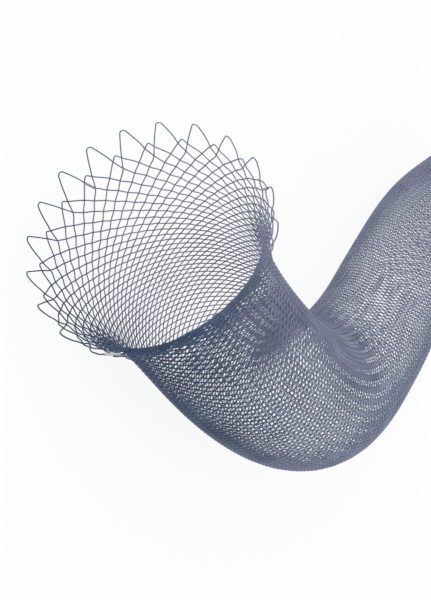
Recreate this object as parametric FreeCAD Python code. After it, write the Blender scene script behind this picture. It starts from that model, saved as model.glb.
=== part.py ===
import FreeCAD, Part
import math
import os

# A braided flow diverter: one tube woven from fine round wire, open at both ends and
# bent round a corner, lying on its side. One end flares into a crown of long loops with
# short loops between them, and three marker sleeves are threaded on legs of long loops.
# Millimetres, +Z up, the far stretch of the tube along +X. The origin is the middle of
# the bottom of the bounding box, where the tube touches the surface that it lies on.

# Wire and tube
WIRE_DIAMETER = 0.045
TUBE_RADIUS = 3.0
WALL_THICKNESS = 0.09
VALLEY_DEPTH = 0.045

# Flare of the crown: the extra radius at the tips and how far it reaches down the tube
FLARE = 1.26
FLARE_REACH = 2.36
FLARE_POWER = 1.5

# Crown of loops, measured from the tips of the long loops along the centreline
LOOPS = 20
FIRST_LOOP_ANGLE = 3.0
FIRST_CROSSING = 0.9
LONG_TIP_RADIUS = 0.14
SHORT_LOOP_DROP = 0.52
SHORT_LOOP_FOOT = 0.6
SHORT_TIP_WIDTH = 0.17

# Lattice of the wall: the step from one ring of crossings to the next, which grows from
# the crown's to the tube's
CROWN_STEP = 0.33
TUBE_STEP = 0.85
STEP_REACH = 8.0

# Windows between bands of ridged weave, each one cell wide: the bands each way round the
# tube, and the rings of open cells between the loops and the first windows
BAND_COUNT = 5
OPEN_RING_COUNT = 1

# Marker sleeves, each as loop number and the side of the loop that it is on
SLEEVES = {"marker_sleeve_1": (7, 1), "marker_sleeve_2": (14, -1), "marker_sleeve_3": (1, -1)}
SLEEVE_LENGTH = 0.5
SLEEVE_WALL = 0.012
SLEEVE_CLEARANCE = 0.004
SLEEVE_STANDOFF = 0.065
LOOSE_END_GAP = 0.03

# Centreline: x, y and the height of the tube's underside over the surface, as the poles
# of a cubic curve from the tips of the crown to the far end
ROUTE = [
    (-12.9, 4.45, 1.75),
    (-11.85, 3.6, 0.85),
    (-10.8, 1.4, 0.3),
    (-11.05, -1.05, 1.1),
    (-8.0, -5.1, 0.35),
    (-2.75, -5.05, 0.0),
    (0.25, -4.8, 0.0),
    (2.9, -4.15, 0.0),
    (6.7, -3.35, 0.0),
    (9.65, -2.75, 0.0),
    (12.6, -2.4, 0.0),
    (15.8, -2.4, 0.0),
    (19.4, -2.4, 0.0),
    (23.0, -2.4, 0.0),
]
FRAME_STEP = 0.1

TURN = 2.0 * math.pi
PITCH = TURN / LOOPS


class Centreline:
    """The tube's middle line, with a section frame that doesn't twist along it."""

    def __init__(self, route):
        poles = [FreeCAD.Vector(x, y, TUBE_RADIUS + lift) for x, y, lift in route]
        self.curve = Part.BSplineCurve()
        self.curve.buildFromPoles(poles, False, 3)
        self.length = self.curve.length()
        self.count = max(2, math.ceil(self.length / FRAME_STEP))
        self.frames = []
        side = None
        for i in range(self.count + 1):
            origin, along = self.at(i * self.length / self.count)
            if side is None:
                side = along.cross(FreeCAD.Vector(0, 0, 1))
            side = side - along * side.dot(along)
            side.normalize()
            self.frames.append(FreeCAD.Vector(side))

    def at(self, station):
        """Point and unit direction at a distance along the line."""
        place = self.curve.parameterAtDistance(station, self.curve.FirstParameter)
        along = self.curve.tangent(place)[0]
        return self.curve.value(place), along

    def frame(self, station):
        """Origin and the two unit vectors of the section plane at a station."""
        origin, along = self.at(station)
        step = station * self.count / self.length
        i = min(int(step), self.count - 1)
        side = self.frames[i] + (self.frames[i + 1] - self.frames[i]) * (step - i)
        side = side - along * side.dot(along)
        side.normalize()
        return origin, side, along.cross(side)


def tube_radius(station):
    """Outer radius: the plain tube, and the flare that fades away from the tips."""
    return TUBE_RADIUS + FLARE * math.exp(-((max(station, 0.0) / FLARE_REACH) ** FLARE_POWER))


def blend(station):
    """0 in the crown, where one wire is the whole wall, and 1 one ring further down."""
    return min(1.0, max(0.0, (station - FIRST_CROSSING) / CROWN_STEP))


def thickness(station):
    """Depth of the wall, from one wire in the crown to the crossed wires of the weave."""
    return WIRE_DIAMETER + (WALL_THICKNESS - WIRE_DIAMETER) * blend(station)


class Skin:
    """Closed skin of the wall. A place on it is a station and an angle round the tube."""

    def __init__(self, line):
        self.line = line
        self.sections = {}
        self.points = []
        self.facets = []
        self.corners = {}

    def position(self, place, depth):
        """Point at a depth under the outer radius."""
        station, angle = place
        if station not in self.sections:
            self.sections[station] = self.line.frame(station)
        origin, side, up = self.sections[station]
        out = side * math.cos(angle) + up * math.sin(angle)
        return origin + out * (tube_radius(station) - depth)

    def add(self, place, depth):
        """Number of a new point."""
        self.points.append(self.position(place, depth))
        return len(self.points) - 1

    def corner(self, name, place):
        """Numbers of the outer and inner points of a corner that its cells share."""
        if name not in self.corners:
            self.corners[name] = (place, self.add(place, 0.0), self.add(place, thickness(place[0])))
        return name

    def face(self, *numbers):
        """Fan of triangles over numbered points, leaving out an edge of no length."""
        for b, c in zip(numbers[1:], numbers[2:]):
            if len({numbers[0], b, c}) == 3:
                self.facets.append((numbers[0], b, c))

    def inset(self, before, here, after):
        """Places beside a corner at half a strand's width, on the left of the walk."""
        station, angle = here
        radius = tube_radius(station)
        half = 0.5 * thickness(station)

        def heading(start, end):
            turn = (end[1] - start[1] + math.pi) % TURN - math.pi
            x, y = turn * radius, end[0] - start[0]
            size = math.hypot(x, y)
            return x / size, y / size

        ax, ay = heading(before, here)
        bx, by = heading(here, after)
        cosine = ax * bx + ay * by
        if cosine < -0.999:
            offsets = [(-ay, ax), (-by, bx)]
        else:
            offsets = [((-ay - by) / (1.0 + cosine), (ax + bx) / (1.0 + cosine))]
        return [(station + y * half, angle + x * half / radius) for x, y in offsets]

    def gap(self, walk):
        """Strands round an opening, walked with the opening on the left."""
        rungs = []
        for i, name in enumerate(walk):
            before = self.corners[walk[i - 1]][0]
            here, outer, inner = self.corners[name]
            after = self.corners[walk[(i + 1) % len(walk)]][0]
            for place in self.inset(before, here, after):
                rungs.append((outer, inner, self.add(place, 0.0), self.add(place, thickness(here[0]))))
        for a, b in zip(rungs, rungs[1:] + rungs[:1]):
            self.face(a[0], b[0], b[2], a[2])
            self.face(a[1], a[3], b[3], b[1])
            self.face(a[2], b[2], b[3], a[3])

    def window(self, walk):
        """Walls of an opening cut along its strands, walked with the opening on the left."""
        pairs = [self.corners[name][1:] for name in walk]
        for (a, e), (b, f) in zip(pairs, pairs[1:] + pairs[:1]):
            self.face(a, b, f, e)

    def cell(self, low, right, high, left, place):
        """Closed cell of the weave: ridges along its strands and a valley between them."""
        (_, a, e), (_, b, f), (_, c, g), (_, d, h) = [self.corners[n] for n in (low, right, high, left)]
        middle = self.add(place, VALLEY_DEPTH)
        for p, q in ((a, b), (b, c), (c, d), (d, a)):
            self.face(p, q, middle)
        self.face(e, g, f)
        self.face(e, h, g)

    def solid(self):
        """The solid that the skin encloses."""
        shell = Part.Shape()
        shell.makeShapeFromMesh((self.points, self.facets), 0.0001)
        return Part.makeSolid(Part.Shell(shell.Faces))


def ring_stations(length):
    """Stations of the rings of crossings, from the crown to the far end."""
    rings = [FIRST_CROSSING]
    while rings[-1] < length:
        share = min(1.0, (rings[-1] - FIRST_CROSSING) / STEP_REACH)
        rings.append(rings[-1] + CROWN_STEP + (TUBE_STEP - CROWN_STEP) * share)
    stretch = (length - FIRST_CROSSING) / (rings[-1] - FIRST_CROSSING)
    return [FIRST_CROSSING + (ring - FIRST_CROSSING) * stretch for ring in rings]


def loop_angle(loop):
    """Angle of a long loop's tip."""
    return math.radians(FIRST_LOOP_ANGLE) + PITCH * loop


def leg_lean():
    """Angle of a long loop's legs to the tube, before the rounding of its tip."""
    across = 0.5 * PITCH * tube_radius(0.5 * FIRST_CROSSING)
    lean = math.atan2(across, FIRST_CROSSING)
    overshoot = LONG_TIP_RADIUS / math.sin(lean) - LONG_TIP_RADIUS
    return math.atan2(across, FIRST_CROSSING + overshoot)


def leg_place(loop, side, station):
    """Place on a leg of a long loop."""
    lean = leg_lean()
    overshoot = LONG_TIP_RADIUS / math.sin(lean) - LONG_TIP_RADIUS
    share = (station + overshoot) / (FIRST_CROSSING + overshoot)
    return station, loop_angle(loop) + side * 0.5 * PITCH * share


def tip_places(loop):
    """Places round the bend of a long loop's tip, with the angle rising."""
    lean = leg_lean()
    reach = 0.5 * math.pi - lean
    radius = tube_radius(0.0)
    places = []
    for share in (-1.0, -0.5, 0.0, 0.5, 1.0):
        bend = share * reach
        across = LONG_TIP_RADIUS * math.sin(bend)
        down = LONG_TIP_RADIUS * (1.0 - math.cos(bend))
        places.append((down, loop_angle(loop) + across / radius))
    return places


class Crown:
    """Corners of the loops, and which legs carry a sleeve."""

    def __init__(self, skin, rings):
        self.skin = skin
        self.rings = rings
        self.sleeved = {(loop % LOOPS, side) for loop, side in SLEEVES.values()}

    def node(self, ring, loop, half):
        """Crossing on a ring, at a loop's angle or half a pitch further."""
        angle = loop_angle(loop % LOOPS) + 0.5 * PITCH * half
        return self.skin.corner(("node", ring, loop % LOOPS, half), (self.rings[ring - 1], angle))

    def crossing(self, ring, loop, step):
        """Crossing on a ring, a number of half pitches from a loop's angle."""
        return self.node(ring, loop + (step - step % 2) // 2, step % 2)

    def strands(self, rising, falling):
        """Crossing of two strands that are known by their numbers."""
        return self.crossing(rising + falling, 0, rising - falling)

    def tip(self, loop):
        """Corners round a long loop's tip, with the angle rising."""
        loop = loop % LOOPS
        return [self.skin.corner(("tip", loop, i), place) for i, place in enumerate(tip_places(loop))]

    def foot(self, loop, side):
        """Corner where a short loop meets a leg, or none on a leg with a sleeve."""
        loop = loop % LOOPS
        if (loop, side) in self.sleeved:
            return []
        return [self.skin.corner(("foot", loop, side), leg_place(loop, side, SHORT_LOOP_FOOT))]

    def short(self, loop):
        """Corners along the short loop after a long one, from foot to foot."""
        loop = loop % LOOPS
        middle = loop_angle(loop) + 0.5 * PITCH
        half = 0.5 * SHORT_TIP_WIDTH / tube_radius(SHORT_LOOP_DROP)
        shoulder = SHORT_LOOP_DROP + 0.15 * SHORT_TIP_WIDTH
        bend = [(shoulder, middle - half), (SHORT_LOOP_DROP, middle), (shoulder, middle + half)]
        corners = [self.skin.corner(("short", loop, i), place) for i, place in enumerate(bend)]
        left = self.foot(loop, 1) or [self.loose_end(loop, loop, 1, bend[0])]
        right = self.foot(loop + 1, -1) or [self.loose_end(loop, loop + 1, -1, bend[2])]
        return left + corners + right

    def loose_end(self, loop, owner, side, bend):
        """Corner where a short loop stops beside the sleeve on a long loop's leg."""
        station, angle = leg_place(owner, side, SHORT_LOOP_FOOT)
        turn = (bend[1] - angle + math.pi) % TURN - math.pi
        length = math.hypot(turn * tube_radius(station), bend[0] - station)
        share = (sleeve_radius() + LOOSE_END_GAP) / length
        place = (station + (bend[0] - station) * share, angle + turn * share)
        return self.skin.corner(("loose", loop, side), place)

    def build(self):
        """Long loops, short loops and the edge of the crown."""
        rim = []
        for loop in range(LOOPS):
            legs = self.tip(loop) + self.foot(loop, 1) + [self.crossing(1, loop, 1)]
            self.skin.gap(legs + [self.crossing(2, loop, 0), self.crossing(1, loop, -1)] + self.foot(loop, -1))
            short = self.short(loop)
            crossing = self.crossing(1, loop, 1)
            if not self.foot(loop, 1):
                path = short[::-1] + short[1:] + [crossing]
            elif not self.foot(loop + 1, -1):
                path = [crossing] + short + short[-2::-1]
            else:
                self.skin.gap(short + [crossing])
                path = short[::-1]
            rim = self.tip(loop + 1)[::-1] + path + rim
        self.skin.gap(rim)


def sleeve_radius():
    """Outer radius of a sleeve, round the corners of the wire's section."""
    return sleeve_bore() + SLEEVE_WALL


def sleeve_bore():
    """Bore of a sleeve, which clears the wire's section at its corners."""
    return WIRE_DIAMETER * math.sqrt(0.5) + SLEEVE_CLEARANCE


def make_sleeve(skin, loop, side):
    """Thin tube round the straight leg of a long loop, above its first crossing."""
    depth = 0.5 * WIRE_DIAMETER
    bend = tip_places(loop % LOOPS)[4 if side > 0 else 0]
    tip = skin.position(bend, depth)
    crossing = skin.position(leg_place(loop, side, FIRST_CROSSING), depth)
    along = tip - crossing
    along.normalize()
    base = crossing + along * SLEEVE_STANDOFF
    body = Part.makeCylinder(sleeve_radius(), SLEEVE_LENGTH, base, along)
    bore = Part.makeCylinder(sleeve_bore(), SLEEVE_LENGTH, base, along)
    return body.cut(bore)


def band_edge(number):
    """Strand at the edge of a band. The bands share the strands as evenly as they can."""
    return LOOPS * number // BAND_COUNT


def window_strands(last):
    """The first and last strand of each window, rising and falling, as their numbers.

    A crossing's ring is the sum of its strands' numbers, and its place round the tube, in
    half pitches, is their difference. A window lies between two bands each way.
    """
    first = 2 + OPEN_RING_COUNT
    windows = []
    for row in range(last):
        for band in range(BAND_COUNT):
            rising = [(first + 1) // 2 + band_edge(band + i) - i for i in (0, 1)]
            falling = [first // 2 + band_edge(row - band + i) - i for i in (0, 1)]
            if rising[0] + falling[0] >= first and rising[1] + falling[1] < last:
                windows.append((rising, falling))
    return windows


def cut_windows(skin, crown, windows):
    """Wall each window and tell which cells of the weave it takes."""
    taken = set()
    for (a, b), (c, d) in windows:
        walk = [(i, c) for i in range(a, b)] + [(b, k) for k in range(c, d)]
        walk += [(i, d) for i in range(b, a, -1)] + [(a, k) for k in range(d, c, -1)]
        skin.window([crown.strands(i, k) for i, k in walk])
        taken.update((i + k + 1, (i - k) % (2 * LOOPS)) for i in range(a, b) for k in range(c, d))
    return taken


def make_wall(skin):
    """Crown, open cells, bands of weave with windows between them, and the far end."""
    rings = ring_stations(skin.line.length)
    last = len(rings)
    crown = Crown(skin, rings)
    crown.build()
    windows = window_strands(last)
    taken = cut_windows(skin, crown, windows)
    for ring in range(2, last):
        for step in range(1 - ring % 2, 2 * LOOPS, 2):
            if (ring, step) in taken:
                continue
            low = crown.crossing(ring - 1, 0, step)
            right = crown.crossing(ring, 0, step + 1)
            high = crown.crossing(ring + 1, 0, step)
            left = crown.crossing(ring, 0, step - 1)
            if ring < 2 + OPEN_RING_COUNT:
                skin.gap([low, right, high, left])
            else:
                angle = loop_angle(0) + 0.5 * PITCH * step
                skin.cell(low, right, high, left, (rings[ring - 1], angle))
    close_end(skin, crown, last)
    print("braid_wall", len(skin.facets), "triangles,", len(windows), "windows")
    return skin.solid()


def close_end(skin, crown, last):
    """Square end after the last ring, with half cells filling its teeth."""
    station = crown.rings[last - 1]
    for loop in range(LOOPS):
        step = 1 - last % 2
        angle = loop_angle(loop) + 0.5 * PITCH * step
        middle = skin.corner(("end", loop), (station, angle))
        names = crown.crossing(last - 1, loop, step), crown.crossing(last, loop, step + 1)
        names += middle, crown.crossing(last, loop, step - 1)
        (_, a, e), (_, b, f), (_, c, g), (_, d, h) = [skin.corners[name] for name in names]
        skin.face(a, b, c)
        skin.face(a, c, d)
        skin.face(e, g, f)
        skin.face(e, h, g)
        skin.face(c, b, f, g)
        skin.face(d, c, g, h)


def main():
    """Build every piece, set it on the surface and write it."""
    skin = Skin(Centreline(ROUTE))
    shapes = {"braid_wall": make_wall(skin)}
    for name, (loop, side) in SLEEVES.items():
        shapes[name] = make_sleeve(skin, loop, side)
    box = shapes["braid_wall"].BoundBox
    home = FreeCAD.Vector(-box.Center.x, -box.Center.y, -box.ZMin)
    print("shift to the origin", home)
    os.makedirs("parts", exist_ok=True)
    for name, shape in shapes.items():
        shape.translate(home)
        print(name, len(shape.Solids), "solid, valid", shape.isValid(), "volume", round(shape.Volume, 5))
        shape.exportStep("parts/" + name + ".step")


main()
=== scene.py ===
"""A braided flow diverter on a pale table: its wires, its marker sleeves and the light.

The tube is forty fine wires. Each wire comes up the tube as one strand, turns round a
loop at the flared end and goes back down the tube the other way round, so the eighty
strands cross over and under each other all along the tube.
"""

import logging
import math
from dataclasses import dataclass, field
from enum import Enum

import bpy
import numpy as np
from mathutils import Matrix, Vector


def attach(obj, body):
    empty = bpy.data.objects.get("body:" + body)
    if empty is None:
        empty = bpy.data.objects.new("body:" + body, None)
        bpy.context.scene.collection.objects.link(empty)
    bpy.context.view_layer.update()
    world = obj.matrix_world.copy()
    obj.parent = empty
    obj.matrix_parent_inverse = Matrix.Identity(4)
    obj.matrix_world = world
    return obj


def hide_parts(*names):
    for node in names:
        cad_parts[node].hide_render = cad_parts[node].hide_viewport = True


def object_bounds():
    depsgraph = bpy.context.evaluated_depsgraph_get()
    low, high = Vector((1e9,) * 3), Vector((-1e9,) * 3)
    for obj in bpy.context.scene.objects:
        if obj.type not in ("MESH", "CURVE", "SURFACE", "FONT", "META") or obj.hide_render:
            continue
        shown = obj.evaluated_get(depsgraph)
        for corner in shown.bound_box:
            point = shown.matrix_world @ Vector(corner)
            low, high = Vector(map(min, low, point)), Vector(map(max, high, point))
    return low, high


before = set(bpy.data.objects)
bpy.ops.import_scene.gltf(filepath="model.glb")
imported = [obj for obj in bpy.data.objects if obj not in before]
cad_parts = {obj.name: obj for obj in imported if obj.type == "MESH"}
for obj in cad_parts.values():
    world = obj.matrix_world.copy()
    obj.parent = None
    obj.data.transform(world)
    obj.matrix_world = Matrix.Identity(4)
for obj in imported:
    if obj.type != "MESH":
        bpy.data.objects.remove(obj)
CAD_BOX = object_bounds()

log = logging.getLogger("flow_diverter")
MM = 0.001
TURN = 2.0 * math.pi
SLEEVED_WIRES = {"marker_sleeve_1": 14, "marker_sleeve_2": 28, "marker_sleeve_3": 2}


class Reach(Enum):
    """How far a loop stands out at the flared end."""

    LONG = 0
    SHORT = 1


# Shader building


class Wire:
    """A shader socket that Python's operators add Math nodes to."""

    def __init__(self, shader: "Shader", socket: bpy.types.NodeSocket) -> None:
        """Keep the socket and the shader that new nodes go into.

        Args:
            shader: the material's node builder.
            socket: an output socket.
        """
        self.shader = shader
        self.socket = socket

    def _math(self, operation: str, first, second) -> "Wire":
        """Add one Math node.

        Args:
            operation: the node's operation.
            first: first value or socket.
            second: second value or socket.

        Returns:
            The result's socket.
        """
        return self.shader.node("ShaderNodeMath", {"operation": operation}, {0: first, 1: second})

    def __add__(self, other: "Wire | float") -> "Wire":
        """Sum."""
        return self._math("ADD", self, other)

    def __radd__(self, other: float) -> "Wire":
        """Sum, with the number first."""
        return self._math("ADD", other, self)

    def __sub__(self, other: "Wire | float") -> "Wire":
        """Difference."""
        return self._math("SUBTRACT", self, other)

    def __mul__(self, other: "Wire | float") -> "Wire":
        """Product."""
        return self._math("MULTIPLY", self, other)


class Shader:
    """A new node material with a Principled shader at its end."""

    def __init__(self, name: str) -> None:
        """Make the material.

        Args:
            name: the material's name.
        """
        self.material = bpy.data.materials.new(name)
        self.material.use_nodes = True
        self.tree = self.material.node_tree
        self.principled = self.tree.nodes["Principled BSDF"]
        self.output = self.tree.nodes["Material Output"]

    def link(self, value, socket: bpy.types.NodeSocket) -> None:
        """Join a value or a link to a socket.

        Args:
            value: a Wire or a plain value.
            socket: the socket that it goes into.
        """
        if isinstance(value, Wire):
            self.tree.links.new(value.socket, socket)
        else:
            socket.default_value = value

    def node(self, kind: str, settings: dict, inputs: dict, out=0) -> Wire:
        """Add a node.

        Args:
            kind: the node's type.
            settings: properties, which are set first.
            inputs: values or links by the socket's name or number.
            out: name or number of the output that is returned.

        Returns:
            The output's socket.
        """
        made = self.tree.nodes.new(kind)
        for key, value in settings.items():
            setattr(made, key, value)
        for key, value in inputs.items():
            self.link(value, made.inputs[key])
        return Wire(self, made.outputs[out])

    def noise(self, scale: float, detail: float) -> Wire:
        """Cloudy pattern on the object's own coordinates.

        Args:
            scale: bumps to the metre.
            detail: octaves.

        Returns:
            Values from 0 to 1.
        """
        place = self.node("ShaderNodeTexCoord", {}, {}, "Object")
        values = {"Vector": place, "Scale": scale, "Detail": detail}
        return self.node("ShaderNodeTexNoise", {}, values, "Fac")

    def along_x(self, start: float, end: float) -> Wire:
        """Share of the way between two places along the object's X.

        Args:
            start: where the share is 0, in metres.
            end: where it is 1.

        Returns:
            The share's socket.
        """
        place = self.node("ShaderNodeTexCoord", {}, {}, "Object")
        across = self.node("ShaderNodeSeparateXYZ", {}, {"Vector": place}, "X")
        values = {"Value": across, "From Min": start, "From Max": end}
        return self.node("ShaderNodeMapRange", {"interpolation_type": "SMOOTHSTEP"}, values, "Result")

    def blend(self, share, low, high) -> Wire:
        """Mix two colours.

        Args:
            share: 0 for the first colour, 1 for the second.
            low: first colour, as three numbers or a Wire.
            high: second colour.

        Returns:
            The colour's socket.
        """
        made = self.tree.nodes.new("ShaderNodeMix")
        made.data_type = "RGBA"
        self.link(share, made.inputs[0])
        for colour, place in ((low, 6), (high, 7)):
            self.link(colour if isinstance(colour, Wire) else (*colour, 1.0), made.inputs[place])
        return Wire(self, made.outputs[2])

    def bump(self, height: Wire, strength: float, distance: float) -> Wire:
        """Turn a height into a normal.

        Args:
            height: the pattern.
            strength: share of the full effect.
            distance: height of the pattern in metres.

        Returns:
            The normal's socket.
        """
        values = {"Strength": strength, "Distance": distance, "Height": height}
        return self.node("ShaderNodeBump", {}, values, "Normal")

    def surface(self, **values) -> None:
        """Set the Principled shader's inputs, with spaces as underscores.

        Args:
            values: a value or a link for each input.
        """
        for key, value in values.items():
            self.link(value, self.principled.inputs[key.replace("_", " ")])


@dataclass(frozen=True)
class OxideWireWithPaintedLight:
    """Drawn wire with the blue-grey oxide of its heat setting, with painted light and shade along it.

    Its colour turns from darker tones at the flared end, which are painted shade, to lighter tones along
    the tube's body, which are painted light, between two places along X.
    """

    # Lit and shaded copies of the oxide: the first pair is painted shade for the flared end, the second
    # pair is painted light for the tube's body. Within each pair the tone differs at random.
    painted_shade_dark: tuple = (0.018, 0.038, 0.080)
    painted_shade_pale: tuple = (0.09, 0.135, 0.23)
    painted_lit_dark: tuple = (0.110, 0.135, 0.210)
    painted_lit_pale: tuple = (0.33, 0.365, 0.49)
    # Between these two places along X, in metres, the painted shade gives way to the painted light.
    painted_light_from: float = -0.0178
    painted_light_to: float = -0.0138
    metallic: float = 0.85
    roughness: float = 0.34
    roughness_spread: float = 0.12
    clouds_per_metre: float = 900.0
    cloud_detail: float = 3.0
    grain_per_metre: float = 60000.0
    grain_detail: float = 1.0
    grain_share: float = 0.5
    grain_height: float = 0.4e-6

    def make(self, name: str = "oxide_wire_and_painted_light") -> bpy.types.Material:
        """Build the material.

        Args:
            name: the material's name.

        Returns:
            The material.
        """
        shader = Shader(name)
        clouds = shader.noise(self.clouds_per_metre, self.cloud_detail)
        grain = shader.noise(self.grain_per_metre, self.grain_detail)
        # The painted shade and the painted light, each with the oxide's random clouds.
        painted_shade = shader.blend(clouds, self.painted_shade_dark, self.painted_shade_pale)
        painted_lit = shader.blend(clouds, self.painted_lit_dark, self.painted_lit_pale)
        shader.surface(
            # Base colour: painted shade at the flared end, blending into painted light along the body.
            Base_Color=shader.blend(shader.along_x(self.painted_light_from, self.painted_light_to), painted_shade, painted_lit),
            Metallic=self.metallic,
            Roughness=self.roughness + (clouds - 0.5) * self.roughness_spread,
            Normal=shader.bump(grain, self.grain_share, self.grain_height),
        )
        return shader.material


@dataclass(frozen=True)
class SleeveMetal:
    """Pale, softly shining metal of the marker sleeves, worn by crimping."""

    dark: tuple = (0.36, 0.38, 0.375)
    light: tuple = (0.60, 0.62, 0.61)
    metallic: float = 0.6
    roughness: float = 0.42
    roughness_spread: float = 0.2
    clouds_per_metre: float = 7000.0
    cloud_detail: float = 2.0
    dent_share: float = 0.6
    dent_height: float = 1.5e-6

    def make(self, name: str = "sleeve_metal") -> bpy.types.Material:
        """Build the material.

        Args:
            name: the material's name.

        Returns:
            The material.
        """
        shader = Shader(name)
        clouds = shader.noise(self.clouds_per_metre, self.cloud_detail)
        shader.surface(
            Base_Color=shader.blend(clouds, self.dark, self.light),
            Metallic=self.metallic,
            Roughness=self.roughness + (clouds - 0.5) * self.roughness_spread,
            Normal=shader.bump(clouds, self.dent_share, self.dent_height),
        )
        return shader.material


@dataclass(frozen=True)
class PaleTable:
    """Plain white table, which the camera sees paler than it is lit, with its shadow kept."""

    colour: tuple = (0.86, 0.86, 0.86)
    roughness: float = 0.9
    glow: float = 0.88

    def make(self, name: str = "pale_table") -> bpy.types.Material:
        """Build the material.

        Args:
            name: the material's name.

        Returns:
            The material.
        """
        shader = Shader(name)
        shader.surface(Base_Color=(*self.colour, 1.0), Roughness=self.roughness)
        seen = [
            shader.node("ShaderNodeLightPath", {}, {}, ray)
            for ray in ("Is Camera Ray", "Is Glossy Ray", "Is Transmission Ray")
        ]
        share = (seen[0] + seen[1] + seen[2]) * self.glow
        white = shader.node("ShaderNodeEmission", {}, {"Color": (1.0, 1.0, 1.0, 1.0), "Strength": 1.0})
        made = shader.tree.nodes.new("ShaderNodeMixShader")
        shader.link(share, made.inputs[0])
        shader.tree.links.new(shader.principled.outputs[0], made.inputs[1])
        shader.link(white, made.inputs[2])
        shader.tree.links.new(made.outputs[0], shader.output.inputs["Surface"])
        return shader.material


# Shape of the tube


@dataclass
class Route:
    """Centreline of the tube, as the poles of a cubic curve from the loops to the plain end.

    The poles are x, y and the height of the tube's underside over the table, in
    millimetres, before the model is moved home.
    """

    poles: tuple = (
        (-12.9, 4.45, 1.75), (-11.85, 3.6, 0.85), (-10.8, 1.4, 0.3), (-11.05, -1.05, 1.1),
        (-8.0, -5.1, 0.35), (-2.75, -5.05, 0.0), (0.25, -4.8, 0.0), (2.9, -4.15, 0.0),
        (6.7, -3.35, 0.0), (9.65, -2.75, 0.0), (12.6, -2.4, 0.0), (15.8, -2.4, 0.0),
        (19.4, -2.4, 0.0), (23.0, -2.4, 0.0),
    )
    home: tuple = (-3.42467, -0.02423, -0.00419)
    tube_radius: float = 3.0
    samples: int = 3000
    degree: int = 3
    places: np.ndarray = field(init=False)
    stations: np.ndarray = field(init=False)
    along: np.ndarray = field(init=False)
    side: np.ndarray = field(init=False)

    def __post_init__(self) -> None:
        """Sample the curve, its length and a section frame that doesn't twist along it."""
        poles = np.array(self.poles) + np.array((0.0, 0.0, self.tube_radius)) + np.array(self.home)
        share = np.linspace(0.0, 1.0, self.samples)
        self.places = self._basis(share) @ poles
        steps = np.linalg.norm(np.diff(self.places, axis=0), axis=1)
        self.stations = np.concatenate([[0.0], np.cumsum(steps)])
        slope = np.gradient(self.places, self.stations, axis=0)
        self.along = slope / np.linalg.norm(slope, axis=1, keepdims=True)
        side = np.cross(self.along[0], (0.0, 0.0, 1.0))
        sides = []
        for along in self.along:
            side = side - along * (side @ along)
            side = side / np.linalg.norm(side)
            sides.append(side)
        self.side = np.array(sides)

    @property
    def length(self) -> float:
        """Length of the centreline."""
        return float(self.stations[-1])

    def _basis(self, share: np.ndarray) -> np.ndarray:
        """Weights of the poles: even knots, repeated at the ends so that the curve meets them.

        Each weight is built up degree by degree from the two of one degree less.

        Args:
            share: places along the curve, from 0 to 1.

        Returns:
            One row of weights for each place.
        """
        count = len(self.poles)
        inner = np.linspace(0.0, 1.0, count - self.degree + 1)
        knots = np.concatenate([np.zeros(self.degree), inner, np.ones(self.degree)])
        place = np.clip(share, 0.0, 1.0 - 1e-12)[:, None]
        weights = ((place >= knots[:-1]) & (place < knots[1:])).astype(float)
        for degree in range(1, self.degree + 1):
            span = knots[degree:-1] - knots[: -degree - 1]
            rise = np.divide(1.0, span, out=np.zeros_like(span), where=span > 0.0)
            span = knots[degree + 1:] - knots[1:-degree]
            fall = np.divide(1.0, span, out=np.zeros_like(span), where=span > 0.0)
            up = (place - knots[: -degree - 1]) * rise * weights[:, :-1]
            down = (knots[degree + 1:] - place) * fall * weights[:, 1:]
            weights = up + down
        return weights

    def sections(self, stations: np.ndarray) -> tuple:
        """Origin and the two unit vectors of the section plane at each station.

        Args:
            stations: distances along the centreline.

        Returns:
            Three arrays of vectors.
        """
        def read(table: np.ndarray) -> np.ndarray:
            """Read a table of vectors at the stations."""
            return np.stack([np.interp(stations, self.stations, table[:, i]) for i in range(3)], 1)

        along = read(self.along)
        along /= np.linalg.norm(along, axis=1, keepdims=True)
        side = read(self.side)
        side -= along * np.sum(side * along, axis=1, keepdims=True)
        side /= np.linalg.norm(side, axis=1, keepdims=True)
        return read(self.places), side, np.cross(along, side)


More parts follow.
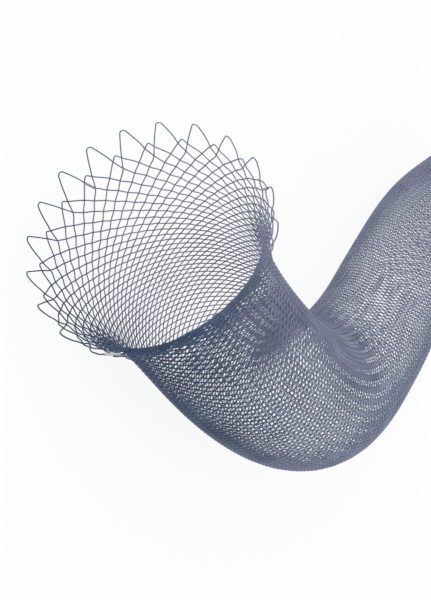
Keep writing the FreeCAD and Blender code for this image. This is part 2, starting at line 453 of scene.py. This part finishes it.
@dataclass
class Weave:
    """Sizes of the braid, in millimetres and degrees, and where its strands run."""

    route: Route = field(default_factory=Route)
    wire: float = 0.048
    flare: float = 1.26
    flare_reach: float = 2.36
    flare_power: float = 1.5
    loops: int = 20
    first_loop_angle: float = 3.0
    first_crossing: float = 0.9
    long_tip_radius: float = 0.14
    short_tip_radius: float = 0.105
    plain_lean: float = 57.0
    bend_lean: float = 72.0
    bend_station: float = 6.0
    reach_before: float = 4.0
    reach_after: float = 5.5
    kink: float = 1.2
    neck_share: float = 1.0
    plain_share: float = 0.25
    neck_station: float = 3.2
    neck_reach: float = 1.4
    settle: float = 6.0
    end_reach: float = 4.0
    slide_rounds: int = 60
    table_start: float = -0.3
    table_step: float = 0.002

    def __post_init__(self) -> None:
        """Work out the turn of a strand at each station.

        A strand leans by an angle from the tube's line, and it turns by the tangent of
        that lean over the radius for each millimetre. The weave is pushed together at the
        bend under the flared end, so there the lean rises from its plain value as a bell
        curve, steeper on the side of the loops. The legs of the long loops lean less, and
        join the others smoothly at the first crossing.
        """
        self.half_pitch = math.pi / self.loops
        self.table = np.arange(self.table_start, self.route.length + self.table_step, self.table_step)
        away = self.table - self.bend_station
        bell = np.exp(-((away / np.where(away < 0.0, self.reach_before, self.reach_after)) ** 2))
        lean = np.radians(self.plain_lean + (self.bend_lean - self.plain_lean) * bell)
        rate = np.tan(lean) / self.radius(self.table)
        turn = np.concatenate([[0.0], np.cumsum(0.5 * (rate[1:] + rate[:-1]) * self.table_step)])
        self.base = turn - np.interp(self.first_crossing, self.table, turn) + self.half_pitch
        across = self.half_pitch * self.radius(0.5 * self.first_crossing)
        lean = math.atan2(across, self.first_crossing)
        overshoot = self.long_tip_radius * (1.0 / math.sin(lean) - 1.0)
        self.long_lean = math.atan2(across, self.first_crossing + overshoot)
        straight = self.half_pitch * (self.table + overshoot) / (self.first_crossing + overshoot)
        apart = straight - self.base
        soft = math.radians(self.kink)
        self.long_turn = self.base + 0.5 * (apart + np.sqrt(apart ** 2 + soft ** 2))
        self.short_lean = math.radians(self.plain_lean)
        self.short_drop = float(np.interp(0.0, self.base, self.table))
        self.crossings = (self.long_turn + self.base) / self.half_pitch
        self.lag = self._lags()

    def _lags(self) -> np.ndarray:
        """How far the weave lags along the tube on its two section directions.

        A weave that kept its spacing along the wall itself would, where the tube bends, run
        ahead on the inner side and lag on the outer side by the radius times the angle
        turned. This one does a share of that, most in the neck, where the share rises as a
        bell curve, and none at the tips. The lag dies away as e to the power of minus the
        length since the bend over the settling length, and is gone at the plain end.

        Returns:
            One pair of lags for each of the route's samples.
        """
        route = self.route
        curl = np.gradient(route.along, route.stations, axis=0)
        up = np.cross(route.along, route.side)
        bends = np.stack([np.sum(curl * route.side, axis=1), np.sum(curl * up, axis=1)], 1)
        away = (route.stations - self.neck_station) / self.neck_reach
        share = self.plain_share + (self.neck_share - self.plain_share) * np.exp(-away ** 2)
        bends *= (share * np.clip(route.stations - self.first_crossing, 0.0, 1.0))[:, None]
        grown = np.exp(route.stations / self.settle)[:, None]
        steps = np.gradient(route.stations)[:, None]
        lag = np.cumsum(bends * self.radius(route.stations)[:, None] * grown * steps, axis=0) / grown
        left = np.clip((route.length - route.stations) / self.end_reach, 0.0, 1.0)[:, None]
        return lag * left * left * (3.0 - 2.0 * left)

    def radius(self, station: "float | np.ndarray") -> "float | np.ndarray":
        """Outer radius: the plain tube's, and a flare that fades away from the loops' tips.

        The flare is its full size times e to the power of minus the station over its
        reach, to the flare's power.

        Args:
            station: distances along the centreline.

        Returns:
            The radii.
        """
        flare = np.exp(-((np.clip(station, 0.0, None) / self.flare_reach) ** self.flare_power))
        return self.route.tube_radius + self.flare * flare

    def strand_rise(self, station: np.ndarray, side: np.ndarray, swing: np.ndarray) -> np.ndarray:
        """Height of a strand's middle over the tube's outer radius, which is below zero.

        It is half a wire under the outer radius at the tips, and one wire under it in the
        weave, where it swings out and in by half a wire as a cosine of the crossings.

        Args:
            station: distances along the wall.
            side: 1 on rising strands and -1 on falling ones.
            swing: how much of the swing there is, from 0 to 1.

        Returns:
            The heights.
        """
        crossings = np.interp(station, self.table, self.crossings)
        ramp = np.clip(crossings, 0.0, 1.0)
        ramp = ramp * ramp * (3.0 - 2.0 * ramp)
        wave = side * swing * np.cos(math.pi * crossings)
        return -0.5 * self.wire * (1.0 + ramp) + 0.5 * self.wire * ramp * wave

    def slide(self, station: np.ndarray, angle: np.ndarray) -> np.ndarray:
        """Stations on the centreline of points whose stations count along the wall.

        Args:
            station: distances along the wall.
            angle: angles round the tube.

        Returns:
            Distances along the centreline.
        """
        found = station
        for _ in range(self.slide_rounds):
            lags = [np.interp(found, self.route.stations, self.lag[:, i]) for i in (0, 1)]
            found = station + lags[0] * np.cos(angle) + lags[1] * np.sin(angle)
        return np.clip(found, self.table[0], self.route.length)

    def place(self, station: np.ndarray, angle: np.ndarray, rise: np.ndarray) -> tuple:
        """Points on the weave.

        Args:
            station: distances along the wall.
            angle: angles round the tube.
            rise: heights over the outer radius.

        Returns:
            The points and the directions out of the tube there.
        """
        station = self.slide(station, angle)
        radius = self.radius(station) + rise
        origin, side, up = self.route.sections(station)
        out = side * np.cos(angle)[:, None] + up * np.sin(angle)[:, None]
        return origin + out * radius[:, None], out


@dataclass
class Sleeve:
    """Where a CAD sleeve lies, and how wires run through it and over it."""

    name: str
    wire_number: int
    run_in: float = 0.16
    catch: float = 0.2
    clearance: float = 0.003
    lift_reach: float = 0.13

    def __post_init__(self) -> None:
        """Read the sleeve's middle, line, half length and radius from its mesh."""
        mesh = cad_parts[self.name].data
        flat = np.empty(3 * len(mesh.vertices))
        mesh.vertices.foreach_get("co", flat)
        corners = flat.reshape(-1, 3) / MM
        self.middle = 0.5 * (corners.min(axis=0) + corners.max(axis=0))
        self.line = np.linalg.svd(corners - self.middle)[2][0]
        down = (corners - self.middle) @ self.line
        self.half = float(np.abs(down).max())
        apart = corners - self.middle - down[:, None] * self.line
        self.radius = float(np.linalg.norm(apart, axis=1).max())

    def fit(self, number: int, points: np.ndarray, out: np.ndarray, wire: float) -> np.ndarray:
        """Bring one wire's path onto the sleeve's line, or lift it clear of the sleeve.

        Args:
            number: the wire's number.
            points: its path.
            out: directions out of the tube along it.
            wire: the wire's thickness.

        Returns:
            The path.
        """
        down = (points - self.middle) @ self.line
        apart = points - self.middle - down[:, None] * self.line
        gap = np.linalg.norm(apart, axis=1)
        if number == self.wire_number:
            beyond = np.clip((np.abs(down) - self.half) / self.run_in, 0.0, 1.0)
            share = (1.0 - beyond * beyond * (3.0 - 2.0 * beyond)) * (gap < self.catch)
            return points - apart * share[:, None]
        near = np.where(np.abs(down) < self.half + 0.5 * wire, gap, np.inf)
        nearest = int(np.argmin(near))
        room = self.radius + 0.5 * wire + self.clearance
        if near[nearest] > room:
            return points
        lift = room - float(apart[nearest] @ out[nearest])
        away = np.linalg.norm(points - points[nearest], axis=1)
        return points + out * (lift * np.exp(-((away / self.lift_reach) ** 2)))[:, None]


@dataclass
class LoopedWire:
    """One wire of the braid: up the tube, round its loop and back down."""

    weave: Weave
    number: int
    sleeves: tuple = ()
    sides: int = 6
    close_crossings: float = 14.0
    close_step: float = 0.25
    bend_steps: int = 5
    ease: float = 0.15
    swing_angle: float = 3.0

    @property
    def reach(self) -> Reach:
        """Long and short loops take turns."""
        return Reach.SHORT if self.number % 2 else Reach.LONG

    def path(self) -> tuple:
        """Stations, angles, sides and swings along the whole wire.

        The tip is a circle's arc that its two legs leave on a tangent. A leg is sampled
        closely in the crown, and further down once at each crossing, where it is at its
        furthest out or in.

        Returns:
            Four arrays.
        """
        weave = self.weave
        tip = math.radians(weave.first_loop_angle) + weave.half_pitch * self.number
        if self.reach is Reach.LONG:
            bend, lean, drop, turns = weave.long_tip_radius, weave.long_lean, 0.0, weave.long_turn
        else:
            bend, lean, drop, turns = weave.short_tip_radius, weave.short_lean, weave.short_drop, weave.base
        swept = np.linspace(0.0, 0.5 * math.pi - lean, self.bend_steps)
        arc_station = drop + bend * (1.0 - np.cos(swept))
        arc_angle = bend * np.sin(swept) / weave.radius(drop)
        first = np.interp(arc_station[-1], weave.table, weave.crossings)
        close = np.arange(first + self.close_step, self.close_crossings, self.close_step)
        last = weave.crossings[-1]
        far = np.arange(self.close_crossings, last, 1.0)
        station = np.interp(np.concatenate([close, far, [last]]), weave.crossings, weave.table)
        station = np.minimum(station, weave.route.length)
        turn = np.interp(station, weave.table, turns)
        start = np.interp(arc_station[-1], weave.table, turns)
        fade = np.exp(-((station - arc_station[-1]) / self.ease))
        turn = turn + (arc_angle[-1] - start) * fade
        leg_station = np.concatenate([arc_station[1:], station])
        leg_angle = np.concatenate([arc_angle[1:], turn])
        swing = np.clip(leg_angle / math.radians(self.swing_angle), 0.0, 1.0)
        stations = np.concatenate([leg_station[::-1], [drop], leg_station])
        angles = tip + np.concatenate([-leg_angle[::-1], [0.0], leg_angle])
        sides = np.concatenate([-np.ones(len(leg_angle)), [0.0], np.ones(len(leg_angle))])
        swings = np.concatenate([swing[::-1], [0.0], swing])
        return stations, angles, sides, swings

    def build(self, material: bpy.types.Material) -> bpy.types.Object:
        """Make the wire's mesh.

        Args:
            material: its finish.

        Returns:
            The piece.
        """
        stations, angles, sides, swings = self.path()
        rise = self.weave.strand_rise(stations, sides, swings)
        points, out = self.weave.place(stations, angles, rise)
        for sleeve in self.sleeves:
            points = sleeve.fit(self.number, points, out, self.weave.wire)
        vertices, faces = round_bar(points, out, 0.5 * self.weave.wire, self.sides)
        return piece("wire_%02d" % (self.number + 1), vertices * MM, faces, material)


def round_bar(points: np.ndarray, out: np.ndarray, radius: float, sides: int) -> tuple:
    """A round bar along a path.

    Each ring is the path's point plus the radius times the cosine of the angle round the
    bar outwards, and times its sine along the cross product of the path and outwards.

    Args:
        points: the path.
        out: a direction beside the path at each point.
        radius: the bar's radius.
        sides: corners of a ring.

    Returns:
        The corners' places, and faces as tuples of corner numbers.
    """
    along = np.gradient(points, axis=0)
    along /= np.linalg.norm(along, axis=1, keepdims=True)
    across = np.cross(along, out)
    across /= np.linalg.norm(across, axis=1, keepdims=True)
    up = np.cross(across, along)
    angle = TURN * np.arange(sides) / sides
    ring = np.cos(angle)[None, :, None] * up[:, None] + np.sin(angle)[None, :, None] * across[:, None]
    corners = (points[:, None] + radius * ring).reshape(-1, 3)
    row = np.arange(len(points) - 1)[:, None] * sides
    column = np.arange(sides)[None, :]
    after = (column + 1) % sides
    quads = np.stack([row + column, row + after, row + sides + after, row + sides + column], 2)
    faces = [tuple(quad) for quad in quads.reshape(-1, 4).tolist()]
    faces.append(tuple(range(sides - 1, -1, -1)))
    faces.append(tuple(range(len(corners) - sides, len(corners))))
    return corners, faces


def piece(name: str, vertices: np.ndarray, faces: list, material: bpy.types.Material) -> bpy.types.Object:
    """Make a mesh object at the origin, with smooth faces and one material.

    Args:
        name: the piece's name.
        vertices: corners' places in metres.
        faces: tuples of corner numbers.
        material: its finish.

    Returns:
        The object.
    """
    mesh = bpy.data.meshes.new(name)
    mesh.from_pydata(vertices.tolist(), [], faces)
    mesh.polygons.foreach_set("use_smooth", np.ones(len(mesh.polygons), dtype=bool))
    mesh.materials.append(material)
    mesh.update()
    made = bpy.data.objects.new(name, mesh)
    bpy.context.scene.collection.objects.link(made)
    return made


@dataclass
class Braid:
    """The forty looped wires, which stand for the CAD wall."""

    weave: Weave = field(default_factory=Weave)
    finish: OxideWireWithPaintedLight = field(default_factory=OxideWireWithPaintedLight)

    def build(self) -> None:
        """Make the wires, hang them on the root body and hide the CAD wall that they stand for."""
        material = self.finish.make()
        sleeves = tuple(Sleeve(name, number) for name, number in SLEEVED_WIRES.items())
        for number in range(2 * self.weave.loops):
            made = LoopedWire(self.weave, number, sleeves).build(material)
            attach(made, "root")
            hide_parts("braid_wall")
        log.info("braid: %d wires, %.1f mm long", 2 * self.weave.loops, self.weave.route.length)


@dataclass
class MarkerSleeves:
    """The sleeves on the legs of three long loops, as the CAD has them."""

    finish: SleeveMetal = field(default_factory=SleeveMetal)

    def build(self) -> None:
        """Dress the sleeves."""
        material = self.finish.make()
        for name in SLEEVED_WIRES:
            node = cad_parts[name]
            if not node.material_slots:
                node.data.materials.append(material)
            for slot in node.material_slots:
                slot.material = material
        log.info("marker sleeves: %d", len(SLEEVED_WIRES))


@dataclass
class Studio:
    """Table, light and camera."""

    table_size: float = 0.8
    table_gap: float = 0.00001
    camera_place: tuple = (-31.36544, 4.18506, 19.71944)
    camera_ahead: tuple = (0.73427545, -0.12768628, -0.66673516)
    camera_up: tuple = (0.38912721, 0.88394777, 0.25926119)
    focal_pixels: float = 650.0
    picture: tuple = (431, 600)
    sensor: float = 36.0
    clip: tuple = (0.0005, 5.0)
    sky_strength: float = 1.0
    key_power: float = 0.035
    key_size: float = 0.06
    key_place: tuple = (-0.05, 0.05, 0.09)
    finish: PaleTable = field(default_factory=PaleTable)

    def build(self) -> None:
        """Make all of it."""
        self.camera()
        self.table()
        self.sky()
        self.lamp()
        log.info("studio: camera, table, sky and lamp")

    def camera(self) -> None:
        """The camera stands where the photograph was taken from."""
        data = bpy.data.cameras.new("camera")
        data.sensor_width = self.sensor
        data.lens = self.focal_pixels * self.sensor / max(self.picture)
        data.clip_start, data.clip_end = self.clip
        made = bpy.data.objects.new("camera", data)
        back = -np.array(self.camera_ahead)
        up = np.array(self.camera_up)
        matrix = np.eye(4)
        matrix[:3, 0] = np.cross(up, back)
        matrix[:3, 1] = up
        matrix[:3, 2] = back
        matrix[:3, 3] = np.array(self.camera_place) * MM
        made.matrix_world = matrix.T.tolist()
        bpy.context.scene.collection.objects.link(made)
        bpy.context.scene.camera = made

    def table(self) -> None:
        """A wide plain table under the tube."""
        half = 0.5 * self.table_size
        low = CAD_BOX[0][2] - self.table_gap
        corners = np.array([(-half, -half, low), (half, -half, low), (half, half, low), (-half, half, low)])
        made = piece("table", corners, [(0, 1, 2, 3)], self.finish.make())

    def sky(self) -> None:
        """White where it is seen or mirrored, and at the sky strength as light."""
        world = bpy.data.worlds.new("sky")
        bpy.context.scene.world = world
        world.use_nodes = True
        tree = world.node_tree
        background = tree.nodes["Background"]
        background.inputs["Color"].default_value = (1.0, 1.0, 1.0, 1.0)
        path = tree.nodes.new("ShaderNodeLightPath")
        total = None
        for ray in ("Is Camera Ray", "Is Glossy Ray", "Is Transmission Ray"):
            if total is None:
                total = path.outputs[ray]
                continue
            add = tree.nodes.new("ShaderNodeMath")
            add.operation = "ADD"
            tree.links.new(total, add.inputs[0])
            tree.links.new(path.outputs[ray], add.inputs[1])
            total = add.outputs[0]
        spread = tree.nodes.new("ShaderNodeMapRange")
        tree.links.new(total, spread.inputs["Value"])
        spread.inputs["To Min"].default_value = self.sky_strength
        spread.inputs["To Max"].default_value = 1.0
        tree.links.new(spread.outputs["Result"], background.inputs["Strength"])

    def lamp(self) -> None:
        """One large soft lamp above the flared end."""
        data = bpy.data.lights.new("key", "AREA")
        data.energy = self.key_power
        data.size = self.key_size
        made = bpy.data.objects.new("key", data)
        made.location = self.key_place
        toward = -np.array(self.key_place)
        pitch = math.acos(-toward[2] / np.linalg.norm(toward))
        made.rotation_euler = (pitch, 0.0, math.atan2(toward[0], -toward[1]))
        bpy.context.scene.collection.objects.link(made)


def main() -> None:
    """Build the studio and every part of the tube."""
    bpy.context.scene.view_settings.view_transform = "Standard"
    Studio().build()
    Braid().build()
    MarkerSleeves().build()


if __name__ == "__main__":
    logging.basicConfig(level=logging.INFO, format="%(name)s: %(message)s")
    main()
